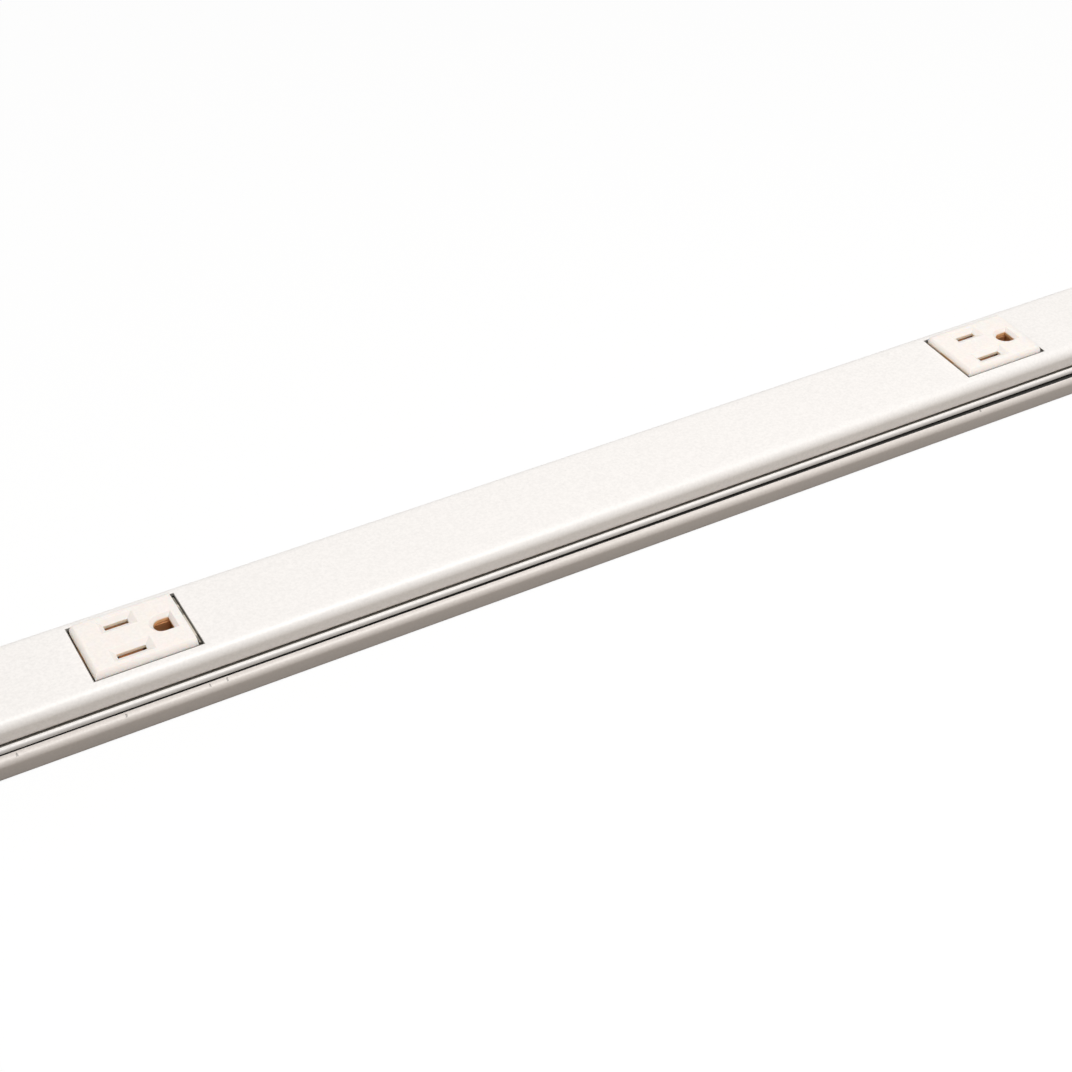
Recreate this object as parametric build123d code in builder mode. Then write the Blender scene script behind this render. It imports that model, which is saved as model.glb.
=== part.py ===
"""Outlet raceway: a 24 inch steel surface raceway with two snap-in receptacles.

A roll-formed base is screwed to the wall and a roll-formed cover snaps over it. Each
receptacle hangs in a punched opening of the cover, on a moulded tongue at its left end and a
spring at its right end, with its rear body standing on the base. Three conductors run through
the base, and each contact has a saddle on its own conductor.

Frame: X along the strip, Y across it, Z out of the wall. The origin is the middle of the
base's underside. Sizes are in millimetres.
"""
import os
from math import sqrt

from build123d import *

# Strip
overall_length = 609.6
outlet_pitch = 304.8
sheet = 1.0
end_plate = 1.2

# Cover section
cover_top = 17.25
cover_corner = 3.5
groove_depth = 1.1
groove_top = 10.6
groove_bottom = 8.63
lip_step = 0.85
lip_bend = 1.35
cover_edge = 7.72

# Base section
base_width = 38.9
shoulder_step = 3.2
base_bend = 0.6
shoulder_top = 7.0
shoulder_bend = 2.3
shoulder_inner = 1.05
trough_drop = 1.8
catch_gap = 0.15
rim_gap = 0.2
rim_top = 14.1

# Openings in the cover
opening_length = 32.4
opening_width = 24.2

# Base fixings
mount_hole_radius = 2.4
mount_hole_spacing = 228.6
knockout_radius = 11.1
knockout_inset = 41.0
score_width = 0.6
score_depth = 0.6

# Receptacle face
face_left_gap = 0.4
face_right_gap = 1.6
face_side_gap = 0.18
face_proud = 1.8
face_bottom = 12.7
face_round = 1.7
face_back_corner = 2.0
tongue_reach = 2.0
tongue_width = 12.0
tongue_thick = 1.7
under_cover_gap = 0.3

# Blade slots and ground hole
slot_spacing = 12.7
slot_width = 1.9
neutral_slot_length = 8.6
line_slot_length = 7.1
pocket_depth = 1.05
pocket_side = 1.9
pocket_right = 2.1
pocket_left = 1.6
slot_wall = 1.2
ground_hole_margin = 6.2
slot_to_ground = 11.5
ground_hole_radius = 2.65
ground_hole_flat = 2.7
ground_pocket = 1.1

# Rear body and its wells
body_top_width = 23.2
body_waist = 18.6
body_corner = 0.6
waist_top = 9.3
well_floor = 2.0
well_length = 10.4
well_width = 4.0
ground_well_length = 7.0
ground_well_width = 5.9
saddle_notch = 3.6
notch_gap = 0.2

# Contacts
brass = 0.5
blade_pinch = 1.2
blade_spread = 1.8
blade_mouth = 2.4
contact_length = 7.0
web_bottom = 5.5
web_top = 8.6
spread_height = 9.6
pinch_height = 13.4
mouth_gap = 0.25
tine_space = 4.3
tine_bottom = 7.5
tine_bend = 1.2
saddle_width = 3.0
saddle_gap = 0.02
saddle_wrap = 20

# Conductors
wire_radius = 1.4
wire_side_gap = 0.75
power_wire_z = 2.75
ground_wire_z = 6.95
wire_start = 18.0
wire_overrun = 22.0

# Receptacle spring
spring_thick = 0.5
spring_width = 21.6
spring_stand = 0.35
spring_foot = 1.4
spring_foot_z = 10.1
spring_waist_z = 13.4
spring_barb_reach = 0.8
spring_barb_z = 15.25
spring_neck_z = 16.4
spring_edge_gap = 0.45
spring_top_drop = 0.3
spring_slot_gap = 0.15

# Wire clips
clip_thick = 0.5
clip_width = 10.0
clip_gap = 0.1
clip_bridge_z = 8.95
clip_foot_z = 2.6
clip_foot_reach = 1.6
clip_first = -203.2
clip_pitch = 133.35

# End caps
cap_tongue = 14.0
cap_lip = 8.0
cap_bend = 0.7
cap_lip_width = 20.0

# Worked out from the sizes above
base_length = overall_length - 2 * end_plate
cover_width = base_width - 2 * shoulder_step
cover_side = (cover_width - sheet) / 2
groove_side = cover_side - groove_depth
lip_side = cover_side + lip_step
lip_width = 2 * lip_side + sheet
base_side = (base_width - sheet) / 2
trough_side = base_side - shoulder_bend - shoulder_inner + sheet
trough_floor = shoulder_top - trough_drop - sheet / 2
rim_side = cover_side - sheet - rim_gap
neck_side = groove_side - sheet - catch_gap
rim_step = groove_top + sheet + catch_gap
neck_inside = neck_side - sheet / 2
wire_y = neck_inside - wire_side_gap - wire_radius
face_top = cover_top + face_proud
face_left = -opening_length / 2 + face_left_gap
face_right = opening_length / 2 - face_right_gap
face_width = opening_width - 2 * face_side_gap
ground_hole_x = face_right - ground_hole_margin
slot_line = ground_hole_x - slot_to_ground
well_top = face_top - pocket_depth - slot_wall
mouth_top = well_top - mouth_gap
saddle_radius = wire_radius + saddle_gap + brass / 2
power_tab_z = power_wire_z + saddle_radius
ground_tab_z = ground_wire_z - saddle_radius
cover_underside = cover_top - sheet
outlets = {"left": -outlet_pitch / 2, "right": outlet_pitch / 2}
slots = {"line": (1, line_slot_length), "neutral": (-1, neutral_slot_length)}


def save(piece, node):
    """Name a finished piece and write its file."""
    piece.label = node
    export_step(piece, f"parts/{node}.step")


os.makedirs("parts", exist_ok=True)

# Base: a floor, two low outer walls, shoulders, troughs, and necks that end in catch rims
with BuildPart() as base:
    with BuildSketch(Plane.YZ.offset(-base_length / 2)):
        with BuildLine():
            FilletPolyline(
                (0, sheet / 2),
                (base_side, sheet / 2),
                (base_side, shoulder_top - sheet / 2),
                (trough_side, shoulder_top - sheet / 2),
                (trough_side, trough_floor),
                (neck_side, trough_floor),
                (neck_side, rim_step),
                (rim_side, rim_step),
                (rim_side, rim_top),
                radius=[base_bend, shoulder_bend - sheet / 2, sheet / 2, base_bend, base_bend, sheet / 2, sheet / 2],
            )
        trace(line_width=sheet)
        mirror(about=Plane.YZ)
    extrude(amount=base_length)
    with BuildSketch(Plane.XY):
        with GridLocations(mount_hole_spacing, 0, 3, 1):
            Circle(mount_hole_radius)
    extrude(amount=sheet, mode=Mode.SUBTRACT)
    with BuildSketch(Plane.XY):
        with GridLocations(base_length - 2 * knockout_inset, 0, 2, 1):
            Circle(knockout_radius)
            Circle(knockout_radius - score_width, mode=Mode.SUBTRACT)
    extrude(amount=score_depth, mode=Mode.SUBTRACT)
save(base.part, "base")

# Cover: one folded strip with a crimp that snaps under the catch rims, and two openings
with BuildPart() as cover:
    with BuildSketch(Plane.YZ.offset(-base_length / 2)):
        with BuildLine():
            FilletPolyline(
                (0, cover_top - sheet / 2),
                (cover_side, cover_top - sheet / 2),
                (cover_side, groove_top),
                (groove_side, groove_top),
                (groove_side, groove_bottom),
                (lip_side, groove_bottom),
                (lip_side, cover_edge),
                radius=[cover_corner - sheet / 2] + 3 * [groove_depth / 2] + [lip_bend - sheet / 2],
            )
        trace(line_width=sheet)
        mirror(about=Plane.YZ)
    extrude(amount=base_length)
    with BuildSketch(Plane.XY.offset(cover_underside)):
        with GridLocations(outlet_pitch, 0, len(outlets), 1):
            Rectangle(opening_length, opening_width)
    extrude(amount=sheet, mode=Mode.SUBTRACT)
save(cover.part, "cover")

# End caps: a folded blank, trimmed to the outline of the assembled strip
for side, sign in (("left", -1), ("right", 1)):
    plate_middle = sign * (overall_length - end_plate) / 2
    inward = -sign
    with BuildPart() as end_cap:
        with BuildSketch(Plane.XZ.offset(-cap_lip_width / 2)):
            with BuildLine():
                FilletPolyline(
                    (plate_middle + inward * cap_lip, cover_underside - end_plate / 2),
                    (plate_middle, cover_underside - end_plate / 2),
                    (plate_middle, sheet + end_plate / 2),
                    (plate_middle + inward * cap_tongue, sheet + end_plate / 2),
                    radius=cap_bend,
                )
            trace(line_width=end_plate)
        extrude(amount=cap_lip_width)
        with BuildSketch(Plane.YZ.offset(plate_middle - end_plate / 2)):
            with Locations((0, cover_top / 2)):
                Rectangle(cover_width, cover_top)
            fillet(vertices().group_by(Axis.Y)[-1], cover_corner)
            for step_width, step_top, step_round in (
                (lip_width, groove_bottom + sheet / 2, lip_bend / 2),
                (base_width, shoulder_top, shoulder_bend),
            ):
                with Locations((0, step_top / 2)):
                    Rectangle(step_width, step_top)
                for edge in (0, -1):
                    corner = vertices().group_by(Axis.X)[edge].sort_by(Axis.Y)[-1]
                    fillet(corner, step_round)
        extrude(amount=end_plate)
    save(end_cap.part, f"{side}_end_cap")

# Conductors: from the left end to just past the last contact
wire_left = -base_length / 2 + wire_start
wire_right = outlets["right"] + wire_overrun
wires = {
    "line_wire": (wire_y, power_wire_z),
    "neutral_wire": (-wire_y, power_wire_z),
    "ground_wire": (wire_y, ground_wire_z),
}
for node, place in wires.items():
    with BuildPart() as wire:
        with BuildSketch(Plane.YZ.offset(wire_left)):
            with Locations(place):
                Circle(wire_radius)
        extrude(amount=wire_right - wire_left)
    save(wire.part, node)

# Wire clips: an arch of spring strip whose feet spread under the base's shoulders
clip_side = neck_inside - clip_gap - clip_thick / 2
for clip_number, place in enumerate(("left", "middle", "right")):
    clip_x = clip_first + clip_number * clip_pitch
    with BuildPart() as clip:
        with BuildSketch(Plane.YZ.offset(clip_x - clip_width / 2)):
            with BuildLine():
                FilletPolyline(
                    (0, clip_bridge_z),
                    (clip_side, clip_bridge_z),
                    (clip_side, clip_foot_z),
                    (clip_side + clip_foot_reach, clip_foot_z + clip_foot_reach / 2),
                    radius=[3 * clip_thick, clip_thick],
                )
            trace(line_width=clip_thick)
            mirror(about=Plane.YZ)
        extrude(amount=clip_width)
    save(clip.part, f"{place}_wire_clip")

for side, outlet_x in outlets.items():
    slot_x = outlet_x + slot_line
    ground_x = outlet_x + ground_hole_x
    ground_flat_x = ground_x + ground_hole_flat
    face_middle = outlet_x + (face_left + face_right) / 2

    # Face: a moulded block, rounded on three sides, with a pocket around each slot
    with BuildPart() as face:
        with BuildSketch(Plane.XY.offset(face_bottom)):
            with Locations((face_middle, 0)):
                Rectangle(face_right - face_left, face_width)
            fillet(vertices().sort_by(Axis.X)[:2].sort_by(Axis.Y)[-1], face_back_corner)
        extrude(amount=face_top - face_bottom)
        rim = face.edges().group_by(Axis.Z)[-1].sort_by(Axis.X)[:-1]
        fillet(rim, face_round)
        for back, slot_length in slots.values():
            slot_y = back * slot_spacing / 2
            pocket_length = slot_length + pocket_left + pocket_right
            pocket_x = slot_x + (pocket_right - pocket_left) / 2
            with BuildSketch(Plane.XY.offset(face_top)) as mouth:
                with Locations((pocket_x, slot_y)):
                    Rectangle(pocket_length, slot_width + 2 * pocket_side)
            with BuildSketch(Plane.XY.offset(face_top - pocket_depth)) as throat:
                with Locations((slot_x, slot_y)):
                    Rectangle(slot_length, slot_width)
            loft(sections=[mouth.sketch, throat.sketch], mode=Mode.SUBTRACT)
            with BuildSketch(Plane.XY.offset(well_top)):
                with Locations((slot_x, slot_y)):
                    Rectangle(slot_length, slot_width)
            extrude(amount=face_top - well_top, mode=Mode.SUBTRACT)
            with BuildSketch(Plane.XY.offset(face_bottom)):
                with Locations((slot_x, slot_y)):
                    Rectangle(well_length, well_width)
            extrude(amount=well_top - face_bottom, mode=Mode.SUBTRACT)
        for height, grow in ((0, ground_pocket), (pocket_depth, 0)):
            with BuildSketch(Plane.XY.offset(face_top - height)) as ground_mouth:
                with BuildLine():
                    arc_radius = ground_hole_radius + grow
                    bow = CenterArc((ground_x, 0), arc_radius, 90, 180)
                    Polyline(
                        bow @ 0,
                        (ground_flat_x + grow, arc_radius),
                        (ground_flat_x + grow, -arc_radius),
                        bow @ 1,
                    )
                make_face()
            if grow:
                ground_funnel = ground_mouth.sketch
        loft(sections=[ground_funnel, ground_mouth.sketch], mode=Mode.SUBTRACT)
        extrude(ground_mouth.sketch, amount=-slot_wall, mode=Mode.SUBTRACT)
        with BuildSketch(Plane.XY.offset(face_bottom)):
            with Locations((ground_x, 0)):
                Rectangle(ground_well_length, ground_well_width)
        extrude(amount=well_top - face_bottom, mode=Mode.SUBTRACT)
        with BuildSketch(Plane.XY.offset(cover_underside - under_cover_gap)):
            with Locations((outlet_x + face_left, 0)):
                Rectangle(face_left_gap + tongue_reach, tongue_width, align=(Align.MAX, Align.CENTER))
        extrude(amount=-tongue_thick)
    save(face.part, f"{side}_receptacle_face")

    # Rear body: stands on the base, narrow below so that the conductors pass beside it
    with BuildPart() as body:
        for bottom, top, width in ((sheet, waist_top, body_waist), (waist_top, face_bottom, body_top_width)):
            with BuildSketch(Plane.XY.offset(bottom)):
                with Locations((face_middle, 0)):
                    Rectangle(face_right - face_left, width)
            extrude(amount=top - bottom)
        fillet(body.edges().filter_by(Axis.Z), body_corner)
        with BuildSketch(Plane.XY.offset(well_floor)):
            with Locations((slot_x, 0)):
                with GridLocations(0, slot_spacing, 1, 2):
                    Rectangle(well_length, well_width)
        extrude(amount=face_bottom - well_floor, mode=Mode.SUBTRACT)
        with BuildSketch(Plane.XY.offset(sheet)):
            with Locations((ground_x, 0)):
                Rectangle(ground_well_length, ground_well_width)
        extrude(amount=face_bottom - sheet, mode=Mode.SUBTRACT)
        notches = (
            (slot_x, 1, slot_spacing / 2, power_tab_z),
            (slot_x, -1, slot_spacing / 2, power_tab_z),
            (ground_x, 1, 0, ground_tab_z),
        )
        for notch_x, back, inner, tab_z in notches:
            notch_bottom = tab_z - brass / 2 - notch_gap
            notch_reach = body_top_width / 2 - inner
            with BuildSketch(Plane.XY.offset(notch_bottom)):
                with Locations((notch_x, back * (inner + notch_reach / 2))):
                    Rectangle(saddle_notch, notch_reach)
            extrude(amount=face_bottom - notch_bottom, mode=Mode.SUBTRACT)
        with BuildSketch(Plane.YZ.offset(outlet_x + face_right)):
            with Locations((0, spring_foot_z)):
                Rectangle(spring_width + 2 * spring_slot_gap, spring_thick + 2 * spring_slot_gap)
        extrude(amount=-spring_foot - spring_slot_gap, mode=Mode.SUBTRACT)
    save(body.part, f"{side}_receptacle_body")

    # Blade contacts: two leaves that pinch the blade, a web between them and a saddle
    for pole, (back, slot_length) in slots.items():
        slot_y = back * slot_spacing / 2
        pinch = (blade_pinch + brass) / 2
        spread = (blade_spread + brass) / 2
        mouth = (blade_mouth + brass) / 2
        with BuildPart() as contact:
            with BuildSketch(Plane.YZ.offset(slot_x - contact_length / 2)):
                for outward, leaf_bottom in ((1, power_tab_z + brass), (-1, well_floor)):
                    with BuildLine():
                        FilletPolyline(
                            (slot_y + back * outward * mouth, mouth_top),
                            (slot_y + back * outward * pinch, pinch_height),
                            (slot_y + back * outward * spread, spread_height),
                            (slot_y + back * outward * spread, leaf_bottom),
                            radius=2 * brass,
                        )
                    trace(line_width=brass)
            extrude(amount=contact_length)
            with BuildSketch(Plane.YZ.offset(slot_x - contact_length / 2)):
                with Locations((slot_y, (web_bottom + web_top) / 2)):
                    Rectangle(2 * spread + brass, web_top - web_bottom)
            extrude(amount=-brass)
            with BuildSketch(Plane.YZ.offset(slot_x - saddle_width / 2)):
                with BuildLine():
                    FilletPolyline(
                        (slot_y + back * spread, web_bottom),
                        (slot_y + back * spread, power_tab_z),
                        (back * wire_y, power_tab_z),
                        radius=brass,
                    )
                    CenterArc((back * wire_y, power_wire_z), saddle_radius, 90, -back * (90 + saddle_wrap))
                trace(line_width=brass)
            extrude(amount=saddle_width)
        save(contact.part, f"{side}_{pole}_contact")

    # Ground contact: a bent strip around three sides of the pin, with a saddle
    tine_y = (tine_space + brass) / 2
    web_x = ground_x - ground_hole_radius - brass / 2 - saddle_gap
    with BuildPart() as ground_contact:
        with BuildSketch(Plane.XY.offset(tine_bottom)):
            with BuildLine():
                FilletPolyline(
                    (ground_flat_x, tine_y),
                    (web_x, tine_y),
                    (web_x, -tine_y),
                    (ground_flat_x, -tine_y),
                    radius=tine_bend,
                )
            trace(line_width=brass)
        extrude(amount=mouth_top - tine_bottom)
        with BuildSketch(Plane.YZ.offset(ground_x - saddle_width / 2)):
            with BuildLine():
                FilletPolyline(
                    (tine_y, tine_bottom + brass),
                    (tine_y, ground_tab_z),
                    (wire_y, ground_tab_z),
                    radius=brass,
                )
                CenterArc((wire_y, ground_wire_z), saddle_radius, -90, 90 + saddle_wrap)
            trace(line_width=brass)
        extrude(amount=saddle_width)
    save(ground_contact.part, f"{side}_ground_contact")

    # Spring: seated in the body's right wall, with a barb that bears under the opening's edge
    stand_x = outlet_x + face_right + spring_stand + spring_thick / 2
    edge_x = outlet_x + opening_length / 2
    neck_x = edge_x - spring_edge_gap - spring_thick / 2
    with BuildPart() as spring:
        with BuildSketch(Plane.XZ.offset(-spring_width / 2)):
            with BuildLine():
                FilletPolyline(
                    (outlet_x + face_right - spring_foot, spring_foot_z),
                    (stand_x, spring_foot_z),
                    (stand_x, spring_waist_z),
                    (edge_x + spring_barb_reach, spring_barb_z),
                    (neck_x, spring_neck_z),
                    (neck_x, cover_top - spring_top_drop),
                    radius=[spring_thick, spring_thick, spring_thick, spring_thick / 2],
                )
            trace(line_width=spring_thick)
        extrude(amount=spring_width)
    save(spring.part, f"{side}_receptacle_spring")
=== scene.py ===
"""Outlet raceway: a white roll-formed steel strip with two snap-in outlets."""

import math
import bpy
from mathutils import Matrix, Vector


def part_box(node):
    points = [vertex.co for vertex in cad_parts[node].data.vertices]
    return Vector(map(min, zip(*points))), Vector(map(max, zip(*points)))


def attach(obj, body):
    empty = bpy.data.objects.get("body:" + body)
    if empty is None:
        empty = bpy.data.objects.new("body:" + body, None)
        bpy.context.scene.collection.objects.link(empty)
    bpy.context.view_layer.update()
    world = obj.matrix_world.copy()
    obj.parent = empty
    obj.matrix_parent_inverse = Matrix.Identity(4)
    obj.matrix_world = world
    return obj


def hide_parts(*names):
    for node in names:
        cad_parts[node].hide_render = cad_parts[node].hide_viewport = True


bl_info = {
    "name": "Outlet Raceway",
    "version": (1, 0, 0),
    "blender": (4, 5, 0),
    "location": "3D Viewport > Sidebar > Raceway",
    "description": "Rolls, assembles and finishes an outlet raceway",
    "category": "Object",
}

import bpy
from bpy.props import FloatProperty, FloatVectorProperty, IntProperty, PointerProperty
from bpy.types import Operator, Panel, PropertyGroup
from mathutils import Matrix, Vector

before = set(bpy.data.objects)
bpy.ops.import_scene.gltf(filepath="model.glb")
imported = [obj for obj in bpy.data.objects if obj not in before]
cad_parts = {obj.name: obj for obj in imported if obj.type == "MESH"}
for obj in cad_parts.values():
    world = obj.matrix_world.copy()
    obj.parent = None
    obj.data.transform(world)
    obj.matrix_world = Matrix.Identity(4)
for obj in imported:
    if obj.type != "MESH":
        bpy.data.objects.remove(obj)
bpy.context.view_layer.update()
BODY = "root"
SIDES = ("left", "right")
POLES = ("line", "neutral", "ground")
COVER_LOW, COVER_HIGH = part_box("cover")
BASE_LOW, BASE_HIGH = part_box("base")

FACE_LOW, FACE_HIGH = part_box("left_receptacle_face")
OTHER_LOW, OTHER_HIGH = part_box("right_receptacle_face")
# The middles of the two faces stand at FACE_SHIFT - FACE_PLACE and FACE_SHIFT + FACE_PLACE
FACE_PLACE = (OTHER_LOW.x + OTHER_HIGH.x - FACE_LOW.x - FACE_HIGH.x) / 4
FACE_SHIFT = (OTHER_LOW.x + OTHER_HIGH.x + FACE_LOW.x + FACE_HIGH.x) / 4
# Half the length and width of a face inside its outer walls
FACE_WALL = 0.0008
FACE_INNER_LENGTH = (FACE_HIGH.x - FACE_LOW.x) / 2 - FACE_WALL
FACE_INNER_WIDTH = FACE_HIGH.y - FACE_WALL
# Depths below the top of a face: where painted shade starts, and where its pockets end and the slots
# start
SHADED_BELOW = 0.00006
POCKET_DEPTH = 0.00107
# Depth over which the walls of a slot turn from painted warm reflected light to painted brown shade, and
# how much sooner those of a ground hole do
SLOT_SHADE = 0.0012
GROUND_HASTE = 1.8
# Half the width of the band along the middle of the strip that holds the ground holes
GROUND_HALF = 0.0035

# Ticks on the front shoulder: their places along the strip, half their width and how far they waver
SCUFF_PLACES = (-0.1935, -0.1622, -0.1373, -0.1320, 0.1389)
SCUFF_HALF = 0.00021
SCUFF_WAVER = 0.0014
# Their ends, out from the middle of the strip, and the height above which they lie
SCUFF_INSIDE = 0.0176
SCUFF_OUTSIDE = 0.0186
SCUFF_LOW = 0.006

# Share of the groove's depth past which the groove gets painted shade
GROOVE_SHADE = 0.3
# The base's floor: its mounting holes, its knockouts, and the drill's length in sheet thicknesses
HOLES = 3
KNOCKOUTS = 2
DRILL_SHEETS = 4.0

# The camera's sensor and the distances between which it sees
SENSOR_WIDTH = 36.0
CLIP_START = 0.01
CLIP_END = 30.0

# The sockets that a Mix node uses for colours
MIX_FACTOR, MIX_FIRST, MIX_SECOND = 0, 6, 7
MIX_RESULT = 2


def length(name, description, default, **more):
    """A length property in metres."""
    return FloatProperty(
        name=name, description=description, default=default, unit="LENGTH", precision=6, **more
    )


def colour(name, description, default):
    """A linear colour property."""
    return FloatVectorProperty(
        name=name, description=description, default=default, subtype="COLOR", min=0, max=1
    )


class RacewaySizes(PropertyGroup):
    """Sizes of the rolled sheets and their punched openings."""

    sheet: length("Sheet", "Thickness of the steel sheet", 0.001)
    bend_steps: IntProperty(name="Bend Steps", description="Facets in each bend", default=12, min=2)
    edge_softness: length("Edge Softness", "Width of the softened sheared edges", 0.00012)
    edge_steps: IntProperty(name="Edge Steps", description="Facets in each soft edge", default=2, min=1)
    edge_turn: FloatProperty(
        name="Edge Turn", description="Angle past which an edge is softened",
        default=math.radians(50), subtype="ANGLE",
    )
    outlet_pitch: length("Outlet Pitch", "Distance between the outlets", 0.3048)
    opening_length: length("Opening Length", "Length of each punched opening", 0.0324)
    opening_width: length("Opening Width", "Width of each punched opening", 0.0242)
    cover_corner: length("Cover Corner", "Outer radius of the cover's long edges", 0.0035)
    groove_depth: length("Groove Depth", "How far the crimped groove goes in", 0.0011)
    cover_side: length("Cover Side", "Half the width across the cover's walls", 0.01625)
    groove_top: length("Groove Top", "Height of the groove's overhang", 0.0099)
    groove_ledge: length("Groove Ledge", "Height of the ledge under the groove", 0.00913)
    crimp_bend: length("Crimp Bend", "Outer radius of the crimp's bends", 0.00105)
    lip_bend: length("Lip Bend", "Outer radius of the cover's lower lip", 0.0011)
    shoulder_bend: length("Shoulder Bend", "Outer radius of the base's shoulder", 0.0023)
    shoulder_top: length("Shoulder Top", "Height of the base's shoulder", 0.007)
    foot_bend: length("Foot Bend", "Outer radius of the base's lower edge", 0.0011)
    shoulder_inner: length("Shoulder Inside", "Half the width between the inner faces", 0.0161)
    inner_bend: length("Inner Bend", "Outer radius of the shoulders' inner edges", 0.001)
    trough_floor: length("Trough Floor", "Height of the floor of the troughs", 0.0052)
    neck_half: length("Neck", "Half the width across the base's necks", 0.014)
    trough_bend: length("Trough Bend", "Outer radius of the troughs' bends", 0.0001)
    rim_step: length("Rim Step", "Height of the underside of the catch rims", 0.01125)
    rim_root: length("Rim Root", "Outer radius of the bend under the catch rims", 0.00002)
    rim_half: length("Rim", "Half the width across the catch rims", 0.01505)
    # Width of the painted shade round each opening, for the dark gap round the outlet faces
    opening_shade_width: length("Opening Shade", "Width of the bare edges of the openings", 0.0002)
    # Where the base's painted shadow under the cover's lip reaches, and how much it widens along the
    # strip
    seam_show: length("Seam Show", "How far the bare seam shows past the cover's lip", 0.0004)
    seam_lean: FloatProperty(
        name="Seam Lean", description="Growth of the bare seam along the strip", default=0.003
    )
    hole_radius: length("Mounting Hole", "Radius of the mounting holes", 0.0024)
    hole_spacing: length("Hole Spacing", "Distance between mounting holes", 0.2286)
    knockout_radius: length("Knockout", "Outer radius of the scored knockouts", 0.0111)
    knockout_place: length("Knockout Place", "How far the knockouts stand from the middle", 0.2626)
    score_width: length("Score Width", "Width of the knockouts' score", 0.0006)
    score_depth: length("Score Depth", "Depth of the knockouts' score", 0.0006)
    hole_sides: IntProperty(name="Hole Sides", description="Sides of each hole", default=48, min=3)
    score_sides: IntProperty(
        name="Score Sides", description="Sides of each knockout's score", default=96, min=3
    )


class RacewayColours(PropertyGroup):
    """Colours of the finishes."""

    enamel: colour("Enamel", "White stove enamel on the cover", (0.905, 0.88, 0.862))
    # The base's enamel is the cover's made darker: partly a greyer paint, partly painted shade on the
    # lower sheet
    base_enamel: colour("Base Enamel", "Greyer enamel on the base", (0.74, 0.688, 0.65))
    # Painted shade: the dark colour of the cover's groove and of the rims round its openings, where
    # shadow falls
    groove_shade_tone: colour("Groove Shade", "Thin grey paint deep in the grooves", (0.17, 0.16, 0.14))
    # Painted shadow for the base's seam under the cover's lip; the scuffs on the base's shoulder take
    # this colour too
    seam_shade_and_scuff_tone: colour("Seam Shade And Scuff", "Bare dark coat under the cover's lips", (0.018, 0.017, 0.015))
    primer: colour("Primer", "Grey coat on the inside of the sheets", (0.23, 0.23, 0.22))
    cut_edge: colour("Cut Edge", "Sheared steel edge", (0.16, 0.155, 0.145))
    plastic: colour("Plastic", "Moulded white faces", (0.93, 0.875, 0.838))
    # Painted shade on the faces' outer walls below the cover's top, in the gap round them
    face_gap_shade: colour("Face Gap Shade", "Dull lower rim of the faces", (0.08, 0.078, 0.07))
    # Painted light and shade inside the slots and ground holes: warm reflected light near the top, brown
    # shade and warm reflection of the brass deeper down
    slot_warm_reflection: colour("Slot Wall", "Warm upper walls inside the slots", (0.94, 0.81, 0.67))
    slot_deep_shade: colour("Slot Depth", "Brown lower walls inside the slots", (0.28, 0.14, 0.07))
    hole_shade_and_reflection: colour("Hole Depth", "Tan lower walls inside the ground holes", (0.72, 0.43, 0.22))
    phenolic: colour("Phenolic", "Moulded brown bodies", (0.062, 0.041, 0.028))
    brass: colour("Brass", "Contacts", (0.90, 0.60, 0.34))
    spring: colour("Spring Steel", "Springs and clips", (0.55, 0.50, 0.43))
    line_jacket: colour("Line Jacket", "Insulation of the line wire", (0.02, 0.02, 0.022))
    neutral_jacket: colour("Neutral Jacket", "Insulation of the neutral wire", (0.80, 0.79, 0.76))
    ground_jacket: colour("Ground Jacket", "Insulation of the ground wire", (0.03, 0.25, 0.09))
    floor: colour("Floor", "Warm bounce of the floor on the strip's walls", (0.14, 0.085, 0.03))
    lamps: colour("Lamps", "Light of the two softboxes", (1, 0.99, 0.975))
    room: colour("Room", "Even light of the room", (1, 0.985, 0.96))


class RacewayStage(PropertyGroup):
    """Light and camera."""

    key_power: FloatProperty(
        name="Key Light", description="Power of the overhead light", default=15.3, min=0
    )
    key_place: FloatVectorProperty(
        name="Key Place", description="Middle of the overhead light",
        default=(0.12, -0.5, 1.15), subtype="XYZ_LENGTH",
    )
    key_width: length("Key Width", "Size of the overhead light along the strip", 0.7)
    key_depth: length("Key Depth", "Size of the overhead light across the strip", 0.5)
    fill_power: FloatProperty(
        name="Fill Light", description="Power of the light behind", default=4.5, min=0
    )
    fill_place: FloatVectorProperty(
        name="Fill Place", description="Middle of the light behind",
        default=(-0.7, 0.95, 0.62), subtype="XYZ_LENGTH",
    )
    fill_size: length("Fill Size", "Size of the light behind", 1.0)
    sky: FloatProperty(
        name="Room Light", description="Strength of the even room light", default=0.14, min=0
    )
    floor_reach: length("Floor Reach", "How far the floor goes out each way", 40.0)
    floor_gap: length("Floor Gap", "How far the floor lies under the strip", 0.0001)
    floor_glow: FloatProperty(
        name="Floor White", description="How far the seen floor is lifted to white",
        default=0.9, min=0, max=1,
    )
    lens: FloatProperty(name="Lens", description="Focal length", default=66.52, unit="CAMERA")
    azimuth: FloatProperty(
        name="Azimuth", description="Camera azimuth", default=math.radians(-29.62), subtype="ANGLE"
    )
    elevation: FloatProperty(
        name="Elevation", description="Camera elevation",
        default=math.radians(39.95), subtype="ANGLE",
    )
    roll: FloatProperty(
        name="Roll", description="Camera roll", default=math.radians(0.76), subtype="ANGLE"
    )
    place: FloatVectorProperty(
        name="Camera Place", description="Where the camera stands",
        default=(-0.25681, -0.41245, 0.39981), subtype="XYZ_LENGTH", precision=5,
    )


# Node maths


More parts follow.
